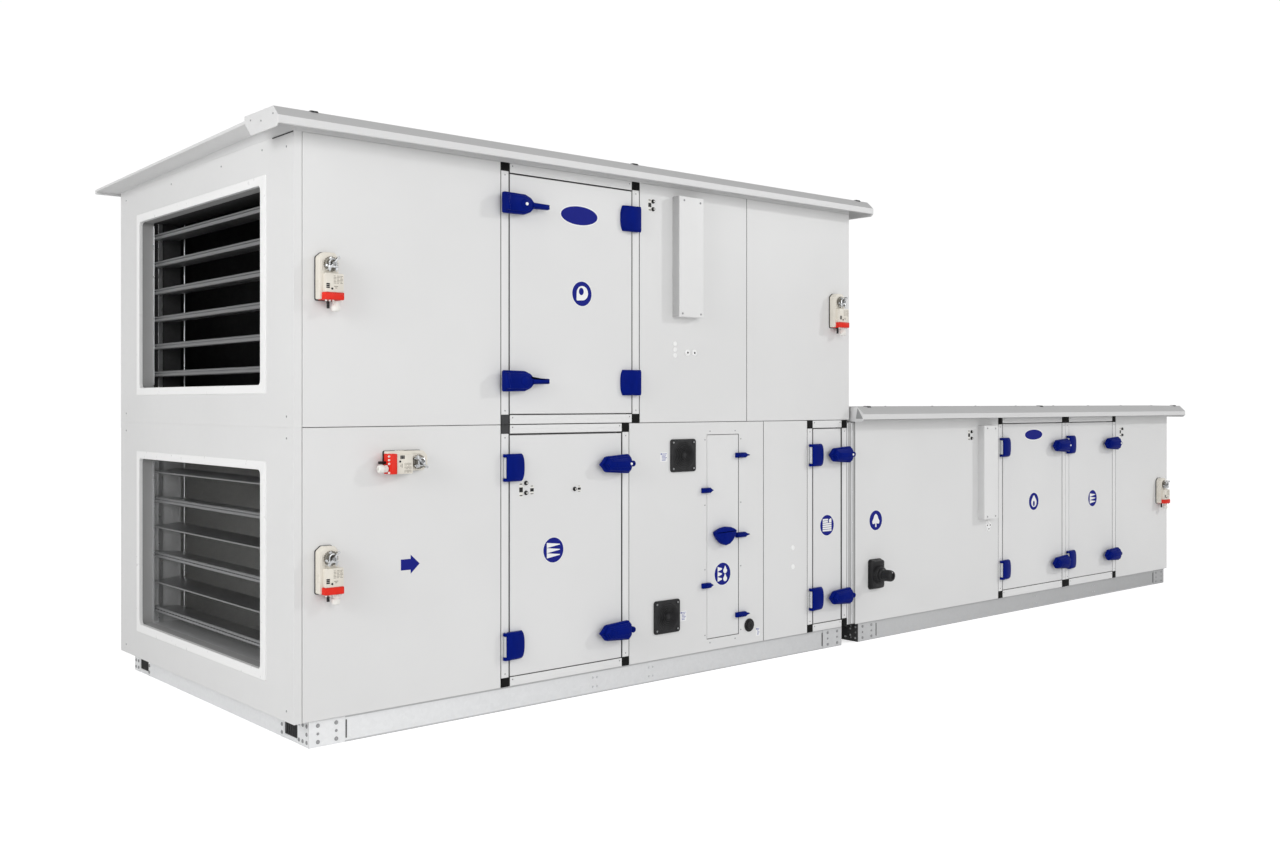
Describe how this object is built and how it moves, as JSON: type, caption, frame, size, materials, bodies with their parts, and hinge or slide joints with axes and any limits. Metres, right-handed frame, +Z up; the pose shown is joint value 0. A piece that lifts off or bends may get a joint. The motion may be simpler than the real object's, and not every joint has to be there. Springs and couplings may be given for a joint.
{
  "type": "air handling unit",
  "caption": "Outdoor air handling unit: a two-deck section beside a lower single-deck one, with louvre dampers, hinged service doors, pitched roofs and base frames.",
  "frame": {"origin": "centre of the unit's footprint, on the ground under the base frames", "axes": "+X along the unit's length from the air-opening end to the single-deck end, +Y from the service face to the rear, +Z up"},
  "size_m": [6.798, 2.01, 2.33],
  "materials": {
    "casing_panel": "smooth satin coil-coated sheet steel, light warm grey",
    "galvanised_steel": "galvanised folded sheet steel, faint spangle",
    "roof_sheet": "satin zinc-aluminium coated roof sheet",
    "white_trim": "satin white powder-coated trim",
    "blue_plastic": "moulded royal blue glass-filled nylon, satin gloss",
    "actuator_plastic": "moulded warm grey-beige plastic",
    "orange_plastic": "moulded orange-red terminal cover",
    "black_plastic": "moulded black plastic",
    "black_rubber": "matt moulded rubber gasket",
    "damper_aluminium": "extruded mill-finish aluminium",
    "coil_aluminium": "thin aluminium fins in a sheet frame",
    "filter_media": "soft non-woven glass fibre bags"
  },
  "bodies": {
    "casing": {"two_deck_base_frame": "galvanised_steel", "single_deck_base_frame": "galvanised_steel", "lower_deck_shell": "casing_panel", "upper_deck_shell": "casing_panel", "single_deck_shell": "casing_panel", "section_joint_frame": "galvanised_steel", "lower_front_frame": "casing_panel", "upper_front_frame": "casing_panel", "single_deck_front_frame": "casing_panel", "two_deck_roof": "roof_sheet", "single_deck_roof": "roof_sheet", "exhaust_damper_actuator": "actuator_plastic", "intake_damper_actuator": "actuator_plastic", "recirculation_damper_actuator": "actuator_plastic", "return_damper_actuator": "actuator_plastic", "supply_damper_actuator": "actuator_plastic", "isolator_body": "black_plastic", "extract_fan_frame": "galvanised_steel", "supply_fan_frame": "galvanised_steel", "bag_filter": "filter_media", "cooling_coil": "coil_aluminium"},
    "upper_fan_door": {"upper_fan_door": "casing_panel"},
    "upper_fan_bottom_handle": {"upper_fan_bottom_handle": "blue_plastic"},
    "upper_fan_top_handle": {"upper_fan_top_handle": "blue_plastic"},
    "filter_door": {"filter_door": "casing_panel"},
    "filter_bottom_handle": {"filter_bottom_handle": "blue_plastic"},
    "filter_top_handle": {"filter_top_handle": "blue_plastic"},
    "heater_door": {"heater_door": "casing_panel"},
    "heater_bottom_handle": {"heater_bottom_handle": "blue_plastic"},
    "heater_top_handle": {"heater_top_handle": "blue_plastic"},
    "supply_fan_door": {"supply_fan_door": "casing_panel"},
    "supply_fan_bottom_handle": {"supply_fan_bottom_handle": "blue_plastic"},
    "supply_fan_top_handle": {"supply_fan_top_handle": "blue_plastic"},
    "fine_filter_door": {"fine_filter_door": "casing_panel"},
    "fine_filter_bottom_handle": {"fine_filter_bottom_handle": "blue_plastic"},
    "fine_filter_top_handle": {"fine_filter_top_handle": "blue_plastic"},
    "service_hatch": {"service_hatch": "casing_panel"},
    "hatch_clip_right_top": {"hatch_clip_right_top": "blue_plastic"},
    "hatch_clip_right_middle": {"hatch_clip_right_middle": "blue_plastic"},
    "hatch_clip_right_bottom": {"hatch_clip_right_bottom": "blue_plastic"},
    "hatch_clip_left_top": {"hatch_clip_left_top": "blue_plastic"},
    "hatch_clip_left_bottom": {"hatch_clip_left_bottom": "blue_plastic"},
    "isolator_knob": {"isolator_knob": "black_plastic"},
    "exhaust_blade_4": {"exhaust_blade_4": "damper_aluminium"},
    "exhaust_blade_1": {"exhaust_blade_1": "damper_aluminium"},
    "exhaust_blade_2": {"exhaust_blade_2": "damper_aluminium"},
    "exhaust_blade_3": {"exhaust_blade_3": "damper_aluminium"},
    "exhaust_blade_5": {"exhaust_blade_5": "damper_aluminium"},
    "exhaust_blade_6": {"exhaust_blade_6": "damper_aluminium"},
    "intake_blade_4": {"intake_blade_4": "damper_aluminium"},
    "intake_blade_1": {"intake_blade_1": "damper_aluminium"},
    "intake_blade_2": {"intake_blade_2": "damper_aluminium"},
    "intake_blade_3": {"intake_blade_3": "damper_aluminium"},
    "intake_blade_5": {"intake_blade_5": "damper_aluminium"},
    "intake_blade_6": {"intake_blade_6": "damper_aluminium"},
    "recirculation_blade": {"recirculation_blade": "damper_aluminium"},
    "return_air_blade": {"return_air_blade": "damper_aluminium"},
    "supply_outlet_blade": {"supply_outlet_blade": "damper_aluminium"},
    "extract_impeller": {"extract_impeller": "damper_aluminium"},
    "supply_impeller": {"supply_impeller": "damper_aluminium"}
  },
  "joints": [
    {"name": "upper_fan_door_swing", "type": "hinge", "parent": "casing", "child": "upper_fan_door", "pos_m": [-1.658, -0.897, 1.7195], "axis": [0, 0, 1], "range_deg": [0, 110]},
    {"name": "upper_fan_bottom_handle_turn", "type": "hinge", "parent": "upper_fan_door", "child": "upper_fan_bottom_handle", "pos_m": [-2.316, -0.915, 1.36], "axis": [0, 1, 0], "range_deg": [0, 90]},
    {"name": "upper_fan_top_handle_turn", "type": "hinge", "parent": "upper_fan_door", "child": "upper_fan_top_handle", "pos_m": [-2.316, -0.915, 2.09], "axis": [0, 1, 0], "range_deg": [0, 90]},
    {"name": "filter_door_swing", "type": "hinge", "parent": "casing", "child": "filter_door", "pos_m": [-2.377, -0.897, 0.6385], "axis": [0, 0, -1], "range_deg": [0, 110]},
    {"name": "filter_bottom_handle_turn", "type": "hinge", "parent": "filter_door", "child": "filter_bottom_handle", "pos_m": [-1.773, -0.915, 0.265], "axis": [0, -1, 0], "range_deg": [0, 90]},
    {"name": "filter_top_handle_turn", "type": "hinge", "parent": "filter_door", "child": "filter_top_handle", "pos_m": [-1.773, -0.915, 1.001], "axis": [0, -1, 0], "range_deg": [0, 90]},
    {"name": "heater_door_swing", "type": "hinge", "parent": "casing", "child": "heater_door", "pos_m": [-0.495, -0.897, 0.6385], "axis": [0, 0, -1], "range_deg": [0, 110]},
    {"name": "heater_bottom_handle_turn", "type": "hinge", "parent": "heater_door", "child": "heater_bottom_handle", "pos_m": [-0.276, -0.915, 0.265], "axis": [0, -1, 0], "range_deg": [0, 90]},
    {"name": "heater_top_handle_turn", "type": "hinge", "parent": "heater_door", "child": "heater_top_handle", "pos_m": [-0.276, -0.915, 1.001], "axis": [0, -1, 0], "range_deg": [0, 90]},
    {"name": "supply_fan_door_swing", "type": "hinge", "parent": "casing", "child": "supply_fan_door", "pos_m": [1.215, -0.897, 0.6445], "axis": [0, 0, -1], "range_deg": [0, 110]},
    {"name": "supply_fan_bottom_handle_turn", "type": "hinge", "parent": "supply_fan_door", "child": "supply_fan_bottom_handle", "pos_m": [1.88, -0.915, 0.265], "axis": [0, -1, 0], "range_deg": [0, 90]},
    {"name": "supply_fan_top_handle_turn", "type": "hinge", "parent": "supply_fan_door", "child": "supply_fan_top_handle", "pos_m": [1.88, -0.915, 1.001], "axis": [0, -1, 0], "range_deg": [0, 90]},
    {"name": "fine_filter_door_swing", "type": "hinge", "parent": "casing", "child": "fine_filter_door", "pos_m": [1.961, -0.897, 0.6445], "axis": [0, 0, -1], "range_deg": [0, 90]},
    {"name": "fine_filter_bottom_handle_turn", "type": "hinge", "parent": "fine_filter_door", "child": "fine_filter_bottom_handle", "pos_m": [2.507, -0.915, 0.265], "axis": [0, -1, 0], "range_deg": [0, 90]},
    {"name": "fine_filter_top_handle_turn", "type": "hinge", "parent": "fine_filter_door", "child": "fine_filter_top_handle", "pos_m": [2.507, -0.915, 1.001], "axis": [0, -1, 0], "range_deg": [0, 90]},
    {"name": "service_hatch_pull", "type": "slide", "parent": "casing", "child": "service_hatch", "axis": [0, -1, 0], "range_m": [0, 0.3]},
    {"name": "hatch_clip_right_top_turn", "type": "hinge", "parent": "service_hatch", "child": "hatch_clip_right_top", "pos_m": [-1.022, -0.895, 1.018], "axis": [0, 1, 0], "range_deg": [0, 90]},
    {"name": "hatch_clip_right_middle_turn", "type": "hinge", "parent": "service_hatch", "child": "hatch_clip_right_middle", "pos_m": [-1.022, -0.895, 0.634], "axis": [0, 1, 0], "range_deg": [0, 90]},
    {"name": "hatch_clip_right_bottom_turn", "type": "hinge", "parent": "service_hatch", "child": "hatch_clip_right_bottom", "pos_m": [-1.022, -0.895, 0.25], "axis": [0, -1, 0], "range_deg": [0, 90]},
    {"name": "hatch_clip_left_top_turn", "type": "hinge", "parent": "service_hatch", "child": "hatch_clip_left_top", "pos_m": [-1.204, -0.895, 0.858], "axis": [0, -1, 0], "range_deg": [0, 90]},
    {"name": "hatch_clip_left_bottom_turn", "type": "hinge", "parent": "service_hatch", "child": "hatch_clip_left_bottom", "pos_m": [-1.204, -0.895, 0.41], "axis": [0, -1, 0], "range_deg": [0, 90]},
    {"name": "isolator_knob_turn", "type": "hinge", "parent": "casing", "child": "isolator_knob", "pos_m": [0.027, -0.935, 0.352], "axis": [0, 1, 0], "range_deg": [0, 90]},
    {"name": "exhaust_blade_4_turn", "type": "hinge", "parent": "casing", "child": "exhaust_blade_4", "pos_m": [-3.176, 0.045, 1.78], "axis": [0, 1, 0], "range_deg": [0, 90]},
    {"name": "exhaust_blade_1_turn", "type": "hinge", "parent": "casing", "child": "exhaust_blade_1", "pos_m": [-3.176, 0.045, 1.402], "axis": [0, 1, 0], "range_deg": [0, 90]},
    {"name": "exhaust_blade_2_turn", "type": "hinge", "parent": "casing", "child": "exhaust_blade_2", "pos_m": [-3.176, 0.045, 1.528], "axis": [0, 1, 0], "range_deg": [0, 90]},
    {"name": "exhaust_blade_3_turn", "type": "hinge", "parent": "casing", "child": "exhaust_blade_3", "pos_m": [-3.176, 0.045, 1.654], "axis": [0, 1, 0], "range_deg": [0, 90]},
    {"name": "exhaust_blade_5_turn", "type": "hinge", "parent": "casing", "child": "exhaust_blade_5", "pos_m": [-3.176, 0.045, 1.906], "axis": [0, 1, 0], "range_deg": [0, 90]},
    {"name": "exhaust_blade_6_turn", "type": "hinge", "parent": "casing", "child": "exhaust_blade_6", "pos_m": [-3.176, 0.045, 2.032], "axis": [0, 1, 0], "range_deg": [0, 90]},
    {"name": "intake_blade_4_turn", "type": "hinge", "parent": "casing", "child": "intake_blade_4", "pos_m": [-3.176, 0.045, 0.7], "axis": [0, 1, 0], "range_deg": [0, 90]},
    {"name": "intake_blade_1_turn", "type": "hinge", "parent": "casing", "child": "intake_blade_1", "pos_m": [-3.176, 0.045, 0.322], "axis": [0, 1, 0], "range_deg": [-90, 0]},
    {"name": "intake_blade_2_turn", "type": "hinge", "parent": "casing", "child": "intake_blade_2", "pos_m": [-3.176, 0.045, 0.448], "axis": [0, 1, 0], "range_deg": [0, 90]},
    {"name": "intake_blade_3_turn", "type": "hinge", "parent": "casing", "child": "intake_blade_3", "pos_m": [-3.176, 0.045, 0.574], "axis": [0, 1, 0], "range_deg": [-90, 0]},
    {"name": "intake_blade_5_turn", "type": "hinge", "parent": "casing", "child": "intake_blade_5", "pos_m": [-3.176, 0.045, 0.826], "axis": [0, 1, 0], "range_deg": [-90, 0]},
    {"name": "intake_blade_6_turn", "type": "hinge", "parent": "casing", "child": "intake_blade_6", "pos_m": [-3.176, 0.045, 0.952], "axis": [0, 1, 0], "range_deg": [0, 90]},
    {"name": "recirculation_blade_turn", "type": "hinge", "parent": "casing", "child": "recirculation_blade", "pos_m": [-2.806, 0.045, 1.043], "axis": [0, 1, 0], "range_deg": [0, 90]},
    {"name": "return_air_blade_turn", "type": "hinge", "parent": "casing", "child": "return_air_blade", "pos_m": [-0.301, 0.045, 1.79], "axis": [0, 1, 0], "range_deg": [0, 90]},
    {"name": "supply_outlet_blade_turn", "type": "hinge", "parent": "casing", "child": "supply_outlet_blade", "pos_m": [3.169, 0.045, 0.7], "axis": [0, 1, 0], "range_deg": [0, 90]},
    {"name": "extract_impeller_spin", "type": "hinge", "parent": "casing", "child": "extract_impeller", "pos_m": [-1.821, 0.03, 1.72], "axis": [1, 0, 0], "continuous": true},
    {"name": "supply_impeller_spin", "type": "hinge", "parent": "casing", "child": "supply_impeller", "pos_m": [1.379, 0.03, 0.64], "axis": [1, 0, 0], "continuous": true}
  ],
  "couplings": [
    {"joint": "exhaust_blade_1_turn", "follows": "exhaust_blade_4_turn", "ratio": 1},
    {"joint": "exhaust_blade_2_turn", "follows": "exhaust_blade_4_turn", "ratio": 1},
    {"joint": "exhaust_blade_3_turn", "follows": "exhaust_blade_4_turn", "ratio": 1},
    {"joint": "exhaust_blade_5_turn", "follows": "exhaust_blade_4_turn", "ratio": 1},
    {"joint": "exhaust_blade_6_turn", "follows": "exhaust_blade_4_turn", "ratio": 1},
    {"joint": "intake_blade_1_turn", "follows": "intake_blade_4_turn", "ratio": -1},
    {"joint": "intake_blade_2_turn", "follows": "intake_blade_4_turn", "ratio": 1},
    {"joint": "intake_blade_3_turn", "follows": "intake_blade_4_turn", "ratio": -1},
    {"joint": "intake_blade_5_turn", "follows": "intake_blade_4_turn", "ratio": -1},
    {"joint": "intake_blade_6_turn", "follows": "intake_blade_4_turn", "ratio": 1}
  ]
}
